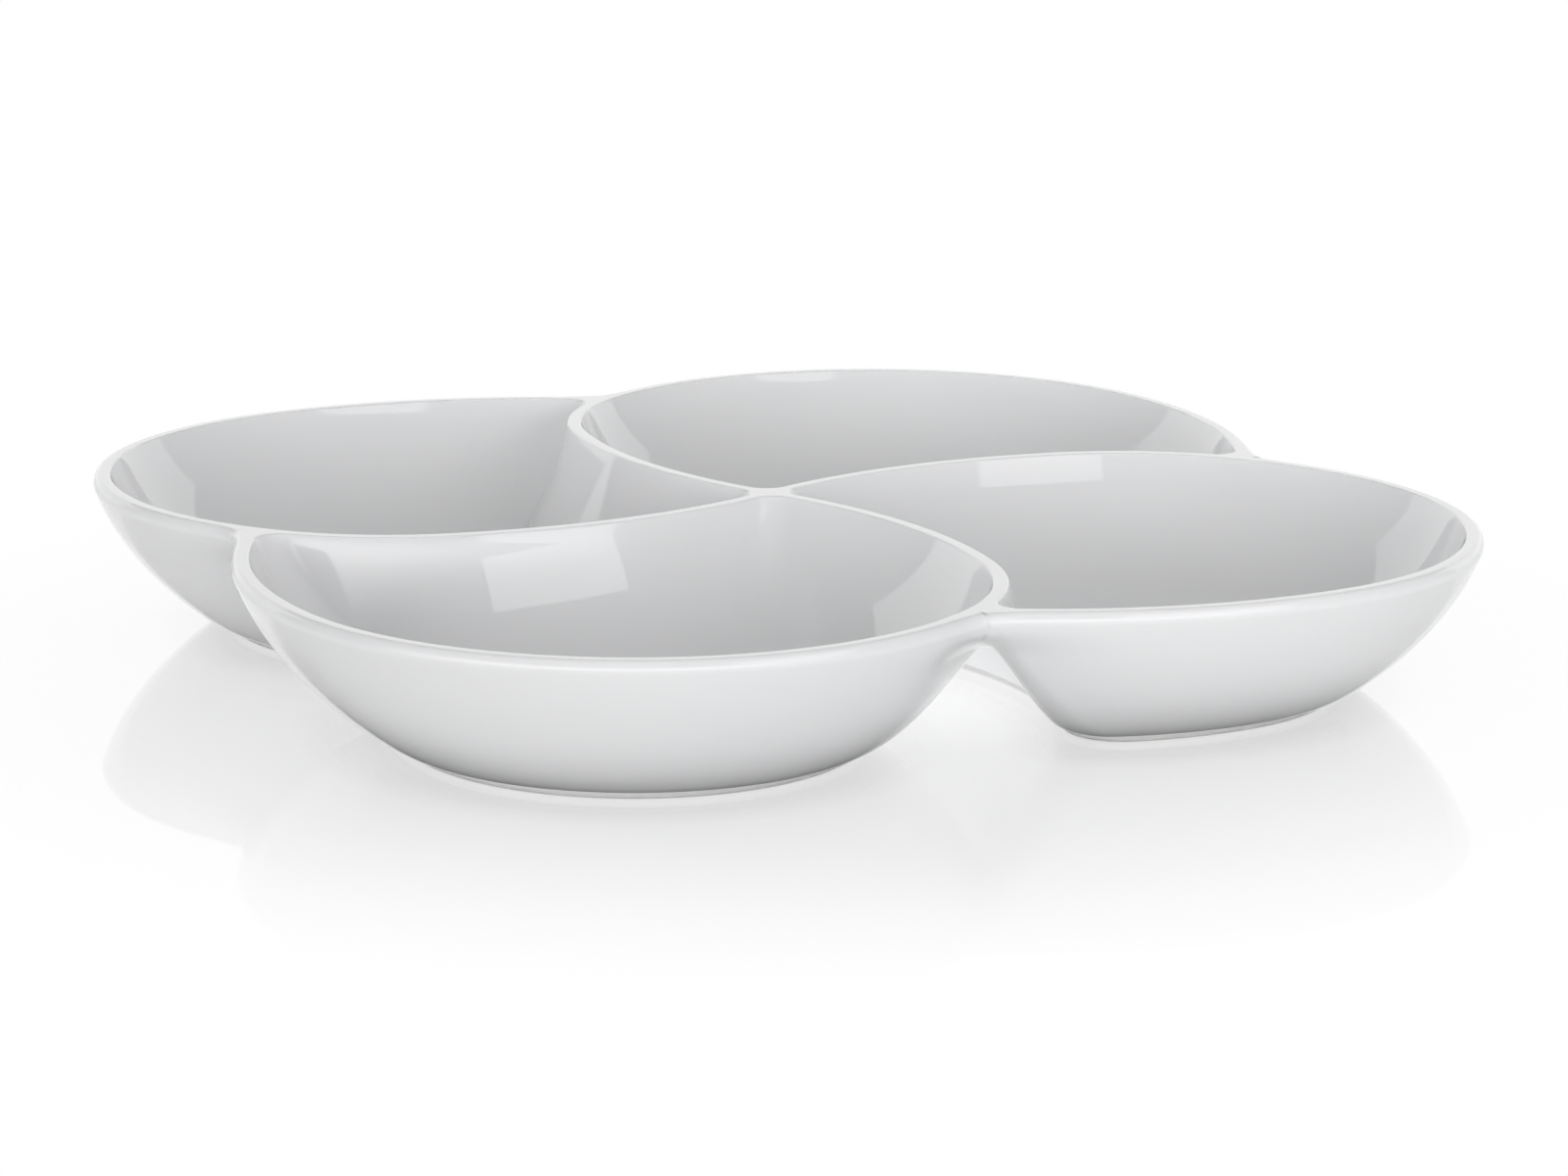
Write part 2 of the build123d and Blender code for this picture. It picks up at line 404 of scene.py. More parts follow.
class Underside:
    """Outside of the dish: a soft union of the four leaves, level by level."""

    def __init__(self, leaf):
        size = leaf.size
        self.leaf = leaf
        self.base = size.height - size.foot_height
        half = size.wall / 2
        self.widest = size.height - half
        # Insets and depths round the rim, then down the wall and on along the base
        a = np.linspace(RIM_START, TURN / 4 - size.rim_steepness, RIM_STEPS)[:-1]
        run = np.linspace(0, OUTER_RUN, OUTER_STEPS)
        inset, depth = wall_face(size, -1, run, self.base, size.edge_blend)
        self.inset = np.concatenate([-half * np.cos(a), inset])
        self.depth = np.concatenate([half + half * np.sin(a), depth])

    def at(self, points, z):
        """Soft signed distance from points at height z to the outside, above nothing outside.

        Every leaf gives its own distance at that level, with some clay taken off below the rim
        where another leaf is near. They join as -k log(sum exp(-distance / k)).
        """
        size, leaf = self.leaf.size, self.leaf
        depth = size.height - z
        even, scale, corner = rows_of(size, -1, np.interp(depth, self.depth, self.inset), depth)
        none = np.zeros_like(depth)
        views = [plan_turn(points, -quarter) for quarter in range(4)]
        rims = [leaf.distance(p, none, none + 1, none + size.corner_at_rim) for p in views]
        ramp = np.clip((depth - ARCH_START) / ARCH_GROWTH, 0, 1)
        ramp = size.arch_relief * ramp * ramp * (3 - 2 * ramp)
        total = np.full(depth.shape, -np.inf)
        for quarter, p in enumerate(views):
            other = np.min([r for q, r in enumerate(rims) if q != quarter], axis=0)
            relief = ramp * np.exp(-(np.maximum(other, 0) / size.arch_width) ** 2)
            gap = leaf.distance(p, even, scale, corner) + relief
            total = np.logaddexp(total, -gap / size.seam_blend)
        return -size.seam_blend * total

    def height(self, points):
        """Height of the underside over plan points, found by halving between base and rim."""
        low = np.full(points.shape[:-1], self.leaf.size.foot_height)
        high = np.full(points.shape[:-1], self.widest)
        return halved(low, high, lambda z: self.at(points, z) < 0)

    def reach(self, points, ways, most):
        """How far from points along plan ways the widest level's edge lies, by halving."""
        low = np.zeros(points.shape[:-1])
        high = np.full(points.shape[:-1], most)
        level = np.full(points.shape[:-1], self.widest)
        return halved(low, high, lambda u: self.at(points + u[..., None] * ways, level) >= 0)

    def normal(self, points, z):
        """Way out of the surface: the slope of the soft distance by small steps."""
        slopes = [self.at(points + move[:2], z + move[2]) - self.at(points - move[:2], z - move[2])
                  for move in SLOPE_STEP * np.eye(3)]
        return normalised(np.stack(slopes, -1))


# Meshes

# Rows of a bowl: over the rim's inner and outer edge, inside, on the floor, outside and base
INNER_EDGE_ROWS, OUTER_EDGE_ROWS = 10, 16
INSIDE_ROWS, FLOOR_ROWS = 56, 12
OUTSIDE_ROWS, BASE_ROWS = 60, 10

# How much closer the rows outside lie near the rim, as a power
OUTSIDE_CROWDING = 1.5

# Scale of the floor's smallest ring, whose points are all drawn to the middle
LEAST_SCALE = 1e-4

# Furthest from the ridge that the rim's outer edge is looked for
WIDEST_RIM = 12 * MM

# How far inside the wall's foot the rows of the base begin, and how close to level counts as flat
BASE_MARGIN = 2 * MM
BASE_LEVEL = 0.01 * MM

# Rows over each edge of a foot ring, and how far the ring reaches up into the base
FOOT_EDGE_ROWS = 8
FOOT_OVERLAP = 0.4 * MM

# Points closer than this share a place
WELD_GAP = 0.002 * MM


def lifted(plan, z):
    """Plan points or ways with heights given to them."""
    return np.concatenate([plan, np.broadcast_to(z, plan.shape[:-1])[..., None]], -1)


def weld(points, normals):
    """Points, normals and faces of a grid of closed rings.

    Points that share a place are joined, and four-cornered faces that lost a corner turn to threes.
    """
    quads = grid_faces(*points.shape[:2])
    points, normals = points.reshape(-1, 3), normals.reshape(-1, 3)
    _, first, new = np.unique(np.round(points / WELD_GAP), axis=0, return_index=True,
                              return_inverse=True)
    faces = new.reshape(-1)[quads]
    kept = faces != np.roll(faces, -1, axis=1)
    sides = kept.sum(1)
    fours = faces[sides == 4]
    threes = faces[sides == 3][kept[sides == 3]].reshape(-1, 3)
    return points[first], normals[first], fours.tolist() + threes.tolist()


def grid_faces(rows, columns):
    """Faces of a grid whose columns close up into rings, ring after ring."""
    a = np.arange(rows - 1)[:, None] * columns + np.arange(columns)
    b = np.arange(rows - 1)[:, None] * columns + (np.arange(columns) + 1) % columns
    return np.stack([a, b, b + columns, a + columns], -1).reshape(-1, 4)


def grid_normals(points, ways):
    """Way out at every point of a grid of closed rings, whose ways out in plan are given.

    The step from ring to ring crossed with the way along the ring, a quarter turn from the way out.
    """
    around = np.stack([ways[..., 1], -ways[..., 0], np.zeros(ways.shape[:2])], -1)
    return normalised(np.cross(np.gradient(points, axis=0), around))


def add_object(name, data):
    """A new object in the scene, at the origin."""
    item = bpy.data.objects.new(name, data)
    bpy.context.scene.collection.objects.link(item)
    return item


def add_piece(name, points, normals, faces, material):
    """A smooth mesh object with its own normals, at the origin."""
    mesh = bpy.data.meshes.new(name)
    mesh.from_pydata(points.tolist(), [], faces)
    mesh.polygons.foreach_set("use_smooth", np.ones(len(mesh.polygons), bool))
    mesh.update()
    mesh.normals_split_custom_set_from_vertices(normals.tolist())
    mesh.materials.append(material)
    return add_object(name, mesh)


def quarter_turn(points, quarters):
    """Points or directions in space turned about the upright axis by quarter turns."""
    return np.concatenate([plan_turn(points[..., :2], quarters), points[..., 2:]], -1)


def inner_rows(leaf):
    """Points and normals of the inside, from the middle of the floor up to the ridge of the rim.

    The rows are outlines drawn in along the wall's inner face, and over the rim's inner half: a
    narrow flat and a tight round that meets the wall's slope.
    """
    size = leaf.size
    floor = size.height - size.foot_height - FLOOR_SHARE * size.wall
    run = np.linspace(0, INNER_RUN, INSIDE_ROWS)
    inset, depth = wall_face(size, 1, run, floor, size.floor_blend)
    r = size.rim_inner_round
    slope = size.rim_steepness
    flat = inset[0] - depth[0] / math.tan(slope) - r * math.tan(slope / 2)
    a = np.linspace(0, slope, INNER_EDGE_ROWS)
    inset = np.concatenate([[0, flat / 2], flat + r * np.sin(a), inset])
    depth = np.concatenate([[0, 0], r - r * np.cos(a), depth])
    even, scale, corner = rows_of(size, 1, inset, depth)
    shrink = scale[-1] * (1 - np.linspace(0, 1, FLOOR_ROWS)[1:])
    count = len(shrink)
    even, depth, corner = (np.concatenate([row, np.full(count, row[-1])])
                           for row in (even, depth, corner))
    scale = np.concatenate([scale, np.maximum(shrink, LEAST_SCALE)])
    plan, ways = leaf.ring(even, scale, np.minimum(corner, corner[-1] * scale / scale[-1 - count]))
    points = lifted(plan, (size.height - depth)[:, None])
    points[-1, :, :2] = leaf.heart
    normals = grid_normals(points, ways)
    normals[0] = normals[-1] = (0, 0, 1)
    return points[::-1], normals[::-1], ways[0]


def border_reach(leaf, under, ridge, ways):
    """How far from the ridge, along each way out, the leaf's own ground goes in plan.

    It ends at the outer edge of the rim, at the line that splits two leaves past a junction, or
    at the seam along a divider, whichever comes first.
    """
    part = np.repeat(np.arange(len(leaf.rim)), [len(stops) for stops in leaf.stops])
    cut = np.full(len(leaf.rim), np.inf)
    for number, point in leaf.seam_ends().items():
        cut[number] = share_at(leaf.rim[number], point)
    past = np.concatenate(leaf.stops) - cut[part]
    belly = (part == BELLY) & (past > 0)
    tip_own = (part == TIP_CORNER) & (past < 0)
    tip_side = (part == TIP_CORNER) & (past >= 0)
    mid_side = (part == MIDDLE_CORNER) & (past < 0)
    mid_own = (part == MIDDLE_CORNER) & (past >= 0)
    free = belly | (part == TAIL) | tip_own
    reach = np.zeros(len(ridge))
    reach[free] = under.reach(ridge[free], ways[free], WIDEST_RIM)
    for start, line in ((leaf.shoulder_end, plan_turn(leaf.split, 1)), (leaf.tip, leaf.split)):
        reach = np.where(free, np.minimum(reach, line_hit(ridge, ways, start, line)), reach)
    for chosen, arc, sign in ((tip_side, leaf.side[SHOULDER], -1), (mid_side, leaf.side[DIVIDER], -1),
                              (mid_own, leaf.own[DIVIDER], 1)):
        reach[chosen] = circle_hit(ridge[chosen], ways[chosen], arc[0], arc[1], sign)
    return np.maximum(reach, 0.0)


def line_hit(points, ways, start, line):
    """How far along ways a half-line from start is met, or far off where it isn't."""
    off = start - points
    below = ways[:, 0] * line[1] - ways[:, 1] * line[0]
    below = np.where(np.abs(below) < 1e-9, 1e-9, below)
    hit = (off[:, 0] * line[1] - off[:, 1] * line[0]) / below
    along = (off[:, 0] * ways[:, 1] - off[:, 1] * ways[:, 0]) / below
    return np.where((hit > 0) & (along > -1e-6), hit, 1.0)


def circle_hit(points, ways, centre, radius, sign):
    """How far along ways a circle is met, coming from outside (-1) or from inside (+1)."""
    off = points - centre
    b = (off * ways).sum(-1)
    return -b + sign * np.sqrt(np.maximum(b * b - (off * off).sum(-1) + radius**2, 0.0))


def outer_rows(leaf, under, ridge, ways, reach):
    """Points and normals from the ridge out over the rim to the border of the leaf's ground.

    The top is level, and rounds down to the outer edge by an ellipse half a wall high, whose
    lean towards the edge goes with the soft distance from it.
    """
    size = leaf.size
    half = size.wall / 2
    wide = size.rim_outer_round
    q = np.sin(np.linspace(0, TURN / 4, OUTER_EDGE_ROWS))[1:]
    plan = ridge + (q[:, None] * reach)[..., None] * ways
    level = np.full(plan.shape[:2], under.widest)
    inward = np.clip(-under.at(plan, level), 0, wide)
    lean = 1 - inward / wide
    rise = np.sqrt(1 - lean**2)
    height = under.widest + half * rise
    out = normalised(under.normal(plan, level)[..., :2])
    normals = normalised(lifted(out * (lean / wide)[..., None], rise / half))
    return lifted(plan, height), normals


def under_rows(leaf, under, border):
    """Points and normals of the underside, from the border in to the middle of the base."""
    size = leaf.size
    inset = np.array([size.base_inset + BASE_MARGIN])
    even, scale, corner = rows_of(size, -1, inset, np.array([under.base]))
    edge = leaf.ring(even, scale, corner)[0][0]
    c = np.linspace(0, 1, OUTSIDE_ROWS) ** OUTSIDE_CROWDING
    plan = border + c[:, None, None] * (edge - border)
    inner = np.linspace(0, 1, BASE_ROWS)[1:]
    base = edge + inner[:, None, None] * (leaf.heart - edge)
    plan = np.concatenate([plan, base])
    z = under.height(plan)
    normals = under.normal(plan, z)
    flat = z < size.foot_height + BASE_LEVEL
    return lifted(plan, z), np.where(flat[..., None], (0.0, 0.0, -1.0), normals)


def leaf_surface(size):
    """Points, normals and faces of the left leaf's bowl: inside, rim, seam walls and underside."""
    leaf = Leaf(size)
    under = Underside(leaf)
    inside, inside_normals, ways = inner_rows(leaf)
    ridge = inside[-1, :, :2]
    reach = border_reach(leaf, under, ridge, ways)
    rim, rim_normals = outer_rows(leaf, under, ridge, ways, reach)
    below, below_normals = under_rows(leaf, under, ridge + reach[:, None] * ways)
    points = np.concatenate([inside, rim, below])
    return weld(points, np.concatenate([inside_normals, rim_normals, below_normals]))


def foot_surface(size):
    """Points, normals and faces of the left leaf's foot ring.

    Its section, a strip with two rounded lower edges, is carried along the base's outline.
    """
    leaf = Leaf(size)
    half = size.foot_width / 2
    r = size.foot_round
    top = size.foot_height + FOOT_OVERLAP
    a = np.linspace(0, TURN / 4, FOOT_EDGE_ROWS)
    out = np.concatenate([[-half], -half + r - r * np.cos(a), half - r + r * np.sin(a), [half]])
    z = np.concatenate([[top], r - r * np.sin(a), r - r * np.cos(a), [top]])
    count = len(out)
    scale = np.full(count, 1 - (1 - size.even_share) * size.foot_inset / size.belly_radius)
    even = size.even_share * size.foot_inset + half + out
    plan, ways = leaf.ring(even, scale, np.full(count, size.corner_at_base))
    points = lifted(plan, z[:, None])
    normals = -grid_normals(points, ways)
    return weld(np.concatenate([points, points[:1]]), np.concatenate([normals, normals[:1]]))


# Materials

SMOOTH = ("interpolation_type", "SMOOTHSTEP")

# Refractive index of the glaze, the bare clay and the floor
GLAZE_IOR, CLAY_IOR, SHEET_IOR = 1.52, 1.5, 1.45

# Flow marks in the glaze: how far across, how strong and how deep
FLOW_WIDTH = 18 * MM
FLOW_STRENGTH = 0.04
FLOW_DEPTH = 1 * MM

# Thickness of the glaze: over what length it drifts, and its roughness where thin and thick
DRIFT_WIDTH = 40 * MM
DRIFT_SPAN = (0.3, 0.7)
THIN_ROUGHNESS, THICK_ROUGHNESS = 0.04, 0.015

# Bare clay: width and spread of its specks, its grain and its roughness
SPECK_WIDTH = 0.8 * MM
SPECK_SPAN = (0.5, 0.75)
GRAIN_STRENGTH = 0.2
GRAIN_DEPTH = 0.05 * MM
CLAY_ROUGHNESS = 0.85

# Glaze on a foot ring: its roughness, and the line to which it was wiped off, which wavers
RING_ROUGHNESS = 0.025
WAVER_WIDTH = 5 * MM
WAVER_HEIGHT = 0.4 * MM
WIPED_SPAN = (0.65 * MM, 0.75 * MM)

# Metres from the middle over which the floor's mirror image, shadow and painted glow run out
MIRROR_SPAN = (0.13, 0.23)
SHADOW_SPAN = (0.12, 0.22)
GLOW_SPAN = (0.05, 0.1)
SHEET_ROUGHNESS = 0.035

# Metres from the middle over which a painted glint on the floor sets in, as the glaze's
# reflections see it, and how bright it gets
SHEEN_SPAN, SHEEN = (0.12, 0.14), 0.4
LOW_GLINT_SPAN = (0.06, 0.12)
BACK_SPAN, BACK_SHEEN = (-0.08, -0.03), 0.5

# Facing at which the painted low-angle glint starts and is full
LOW_GLINT_FACING = (0.565, 0.605)

# How near the dish has to be for the floor's painted shade to set in
CONTACT_GAP = 10 * MM


def add_node(tree, kind, settings=(), links=()):
    """Adds a node with settings as (input or attribute, value) and links as (input, source).

    A source is an output, or a node for its first output.
    """
    node = tree.nodes.new(kind)
    for name, value in settings:
        if isinstance(name, str) and hasattr(node, name):
            setattr(node, name, value)
        else:
            node.inputs[name].default_value = value
    for name, source in links:
        output = source.outputs[0] if isinstance(source, bpy.types.Node) else source
        tree.links.new(output, node.inputs[name])
    return node


def new_material(name):
    """An empty node material and its node tree."""
    material = bpy.data.materials.new(name)
    material.use_nodes = True
    material.node_tree.nodes.clear()
    return material, material.node_tree


def rgba(colour):
    """A colour with full cover, as the sockets take it."""
    return (*colour, 1.0)


def glazed_porcelain(finish):
    """Glazed hard porcelain: a cool white body under a clear, glassy glaze.

    The eye gets sharp reflections that waver very slightly, because the glaze flowed before it
    set, and a hardly visible change of tone where it is thicker.
    """
    material, tree = new_material("glazed porcelain")
    place = add_node(tree, "ShaderNodeTexCoord").outputs["Object"]
    flow = add_node(tree, "ShaderNodeTexNoise", [("Scale", 1 / FLOW_WIDTH), ("Detail", 1.0)],
                    [("Vector", place)])
    drift = add_node(tree, "ShaderNodeTexNoise", [("Scale", 1 / DRIFT_WIDTH), ("Detail", 2.0)],
                     [("Vector", place)])
    tone = add_node(tree, "ShaderNodeMix",
                    [("data_type", "RGBA"), (6, rgba(finish.glaze)), (7, rgba(finish.glaze_deep))],
                    [(0, drift)])
    bump = add_node(tree, "ShaderNodeBump",
                    [("Strength", FLOW_STRENGTH), ("Distance", FLOW_DEPTH)],
                    [("Height", flow)])
    # Thinner glaze is a little less glassy
    gloss = add_node(tree, "ShaderNodeMapRange",
                     [("From Min", DRIFT_SPAN[0]), ("From Max", DRIFT_SPAN[1]),
                      ("To Min", THIN_ROUGHNESS), ("To Max", THICK_ROUGHNESS)],
                     [("Value", drift)])
    shader = add_node(tree, "ShaderNodeBsdfPrincipled", [("IOR", GLAZE_IOR)],
                      [("Base Color", tone.outputs[2]), ("Roughness", gloss), ("Normal", bump)])
    add_node(tree, "ShaderNodeOutputMaterial", (), [("Surface", shader)])
    return material


def biscuit_porcelain(finish):
    """Foot ring of the same porcelain, with bare fired clay where the glaze was wiped off.

    The eye gets a matt, slightly warm band with fine specks where the ring stands, and above a
    wavering line the sharp reflections of the glaze.
    """
    material, tree = new_material("wiped biscuit porcelain")
    place = add_node(tree, "ShaderNodeTexCoord").outputs["Object"]
    specks = add_node(tree, "ShaderNodeTexNoise", [("Scale", 1 / SPECK_WIDTH), ("Detail", 3.0)],
                      [("Vector", place)])
    spread = add_node(tree, "ShaderNodeMapRange",
                      [("From Min", SPECK_SPAN[0]), ("From Max", SPECK_SPAN[1])],
                      [("Value", specks)])
    tone = add_node(tree, "ShaderNodeMix",
                    [("data_type", "RGBA"), (6, rgba(finish.biscuit)), (7, rgba(finish.speck))],
                    [(0, spread)])
    bump = add_node(tree, "ShaderNodeBump",
                    [("Strength", GRAIN_STRENGTH), ("Distance", GRAIN_DEPTH)],
                    [("Height", specks)])
    bare = add_node(tree, "ShaderNodeBsdfPrincipled",
                    [("Roughness", CLAY_ROUGHNESS), ("IOR", CLAY_IOR)],
                    [("Base Color", tone.outputs[2]), ("Normal", bump)])
    glazed = add_node(tree, "ShaderNodeBsdfPrincipled",
                      [("Base Color", rgba(finish.glaze)), ("Roughness", RING_ROUGHNESS),
                       ("IOR", GLAZE_IOR)])
    # The glaze ends about 0.5 mm above the floor
    waver = add_node(tree, "ShaderNodeTexNoise", [("Scale", 1 / WAVER_WIDTH), ("Detail", 1.0)],
                     [("Vector", place)])
    height = add_node(tree, "ShaderNodeSeparateXYZ", (), [(0, place)])
    line = add_node(tree, "ShaderNodeMath", [("operation", "MULTIPLY_ADD"), (1, WAVER_HEIGHT)],
                    [(0, waver), (2, height.outputs["Z"])])
    wiped = add_node(tree, "ShaderNodeMapRange",
                     [("From Min", WIPED_SPAN[0]), ("From Max", WIPED_SPAN[1])],
                     [("Value", line)])
    ring = add_node(tree, "ShaderNodeMixShader", (),
                    [(0, wiped), (1, bare), (2, glazed)])
    add_node(tree, "ShaderNodeOutputMaterial", (), [("Surface", ring)])
    return material


def studio_floor(look):
    """White acrylic sheet with a painted glow under the dish: white to the eye, with a faint
    shadow and a soft mirror.

    The shadow and the mirror image fade with the distance from the dish, as on a sheet whose
    far end is lit more brightly. In the glaze's reflections the sheet shows a painted glint past
    the dish, behind it and at low angles. In the gap under the edge of the dish it has painted
    shade: its colour is dark there.
    """
    material, tree = new_material("white acrylic sheet")
    place = add_node(tree, "ShaderNodeTexCoord").outputs["Object"]
    far = add_node(tree, "ShaderNodeVectorMath", [("operation", "LENGTH")],
                   [(0, place)]).outputs["Value"]
    back = add_node(tree, "ShaderNodeSeparateXYZ", (), [(0, place)]).outputs["Y"]
    # Bands by the distance from the middle, and one at the back, where a painted glint stands in
    # for the panel lighting the sheet
    near, eye, glint, clear, under, behind = (
        add_node(tree, "ShaderNodeMapRange",
                 [SMOOTH, ("From Min", span[0]), ("From Max", span[1]), ("To Min", before),
                  ("To Max", past)], [("Value", source)])
        for source, span, before, past in (
            (far, MIRROR_SPAN, 1.0, 0.0),
            (far, SHADOW_SPAN, 1 - look.shadow, 1.0),
            (far, SHEEN_SPAN, 0.0, SHEEN),
            (far, LOW_GLINT_SPAN, 0.0, 1.0),
            (far, GLOW_SPAN, look.sheet_glow, 0.0),
            (back, BACK_SPAN, 0.0, BACK_SHEEN)))
    # Painted glint: at less than about 25 degrees to the sheet, the glaze's reflections see it
    # bright, in place of the panel mirrored in it
    facing = add_node(tree, "ShaderNodeLayerWeight", [("Blend", 0.5)])
    shallow = add_node(tree, "ShaderNodeMapRange",
                       [("From Min", LOW_GLINT_FACING[0]), ("From Max", LOW_GLINT_FACING[1])],
                       [("Value", facing.outputs["Facing"])])
    low_glint = add_node(tree, "ShaderNodeMath", [("operation", "MULTIPLY")],
                      [(0, shallow), (1, clear)])
    glint = add_node(tree, "ShaderNodeMath", [("operation", "MAXIMUM")],
                     [(0, glint), (1, low_glint)])
    glint = add_node(tree, "ShaderNodeMath", [("operation", "MAXIMUM")],
                     [(0, glint), (1, behind)])
    path = add_node(tree, "ShaderNodeLightPath")
    seen = add_node(tree, "ShaderNodeMath", [("operation", "MAXIMUM")],
                    [(0, path.outputs["Is Camera Ray"]), (1, path.outputs["Is Transmission Ray"])])
    eye = add_node(tree, "ShaderNodeMath", [("operation", "MULTIPLY")],
                   [(0, seen), (1, eye)])
    # Painted reflection: only glossy rays see the sheet white in the glint bands
    glint = add_node(tree, "ShaderNodeMath", [("operation", "MULTIPLY")],
                     [(0, path.outputs["Is Glossy Ray"]), (1, glint)])
    white = add_node(tree, "ShaderNodeMath", [("operation", "MAXIMUM")],
                     [(0, eye), (1, glint)])
    # Painted shade: the floor's colour turns dark where the dish is near, as little light gets into the
    # gap under its edge
    open_sky = add_node(tree, "ShaderNodeAmbientOcclusion", [("Distance", CONTACT_GAP)])
    tone = add_node(tree, "ShaderNodeMix",
                    [("data_type", "RGBA"), (6, rgba(look.contact_shade)), (7, rgba(look.paper))],
                    [(0, open_sky.outputs["AO"])])
    paper = add_node(tree, "ShaderNodeBsdfDiffuse", (), [("Color", tone.outputs[2])])
    # Painted glow under the dish
    glow = add_node(tree, "ShaderNodeEmission", [("Color", (1, 1, 1, 1))],
                    [("Strength", under)])
    lit = add_node(tree, "ShaderNodeAddShader", (), [(0, paper), (1, glow)])
    bright = add_node(tree, "ShaderNodeEmission", [("Color", (1, 1, 1, 1)), ("Strength", 1.0)])
    body = add_node(tree, "ShaderNodeMixShader", (),
                    [(0, white), (1, lit), (2, bright)])
    gloss = add_node(tree, "ShaderNodeBsdfGlossy", [("Roughness", SHEET_ROUGHNESS)])
    grazing = add_node(tree, "ShaderNodeFresnel", [("IOR", SHEET_IOR)])
    part = add_node(tree, "ShaderNodeMath", [("operation", "MULTIPLY")],
                    [(0, grazing), (1, near)])
    sheet = add_node(tree, "ShaderNodeMixShader", (),
                     [(0, part), (1, body), (2, gloss)])
    add_node(tree, "ShaderNodeOutputMaterial", (), [("Surface", sheet)])
    return material


# Operators

# Half the floor's width in metres
FLOOR_HALF = 4.0

# Directions in the room, as parts of a unit way: how far its bright front is turned left, and
# where the front, the upper room and the ceiling begin and are full
LEFT_TURN = 0.15
FRONT_SPAN = (-0.15, -0.75)
UPPER_SPAN = (0.1, 0.5)
CEILING_SPAN = (0.5, 0.9)

# Panel: slope of its sides in plan, softness of their edges, and where its top edge fades
PANEL_SLOPE = 0.67
PANEL_SOFTNESS = 0.01
PANEL_TOP = (0.46, 0.45)

# Soft box: place, aim and size in metres, and how far it is tipped
BOX_PLACE = (0.361, -0.395, 0.287)
BOX_AIM = (-0.04, -0.04, 0.02)
BOX_SIZE = (0.33, 0.2)
BOX_TIP = math.radians(-16)

# Camera: place and nearest and furthest sight in metres, turns, lens and sensor in millimetres
CAMERA_PLACE = (0, -0.86648, 0.21747)
CAMERA_SIGHT = (0.05, 20.0)
CAMERA_TURN = math.radians(-0.199)
CAMERA_TILT = math.radians(90 - 13.316)
CAMERA_ROLL = math.radians(0.39)
CAMERA_LENS = 99.7
CAMERA_SENSOR = 36.0


class DISH_OT_bowls(bpy.types.Operator):
    """Make the four glazed leaf bowls"""
    bl_idname = "dish.bowls"
    bl_label = "Leaf Bowls"

    def execute(self, context):
        material = glazed_porcelain(context.scene.dish_finish)
        points, normals, faces = leaf_surface(context.scene.dish_sizes)
        for quarters, place in enumerate(PLACES):
            piece = add_piece(place + "_leaf", quarter_turn(points, quarters),
                              quarter_turn(normals, quarters), faces, material)
            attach(piece, "root")
            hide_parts(place + "_bowl")
        return {"FINISHED"}


class DISH_OT_feet(bpy.types.Operator):
    """Make the four foot rings"""
    bl_idname = "dish.feet"
    bl_label = "Foot Rings"

    def execute(self, context):
        material = biscuit_porcelain(context.scene.dish_finish)
        points, normals, faces = foot_surface(context.scene.dish_sizes)
        for quarters, place in enumerate(PLACES):
            piece = add_piece(place + "_foot_ring", quarter_turn(points, quarters),
                              quarter_turn(normals, quarters), faces, material)
            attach(piece, "root")
            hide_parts(place + "_foot")
        return {"FINISHED"}


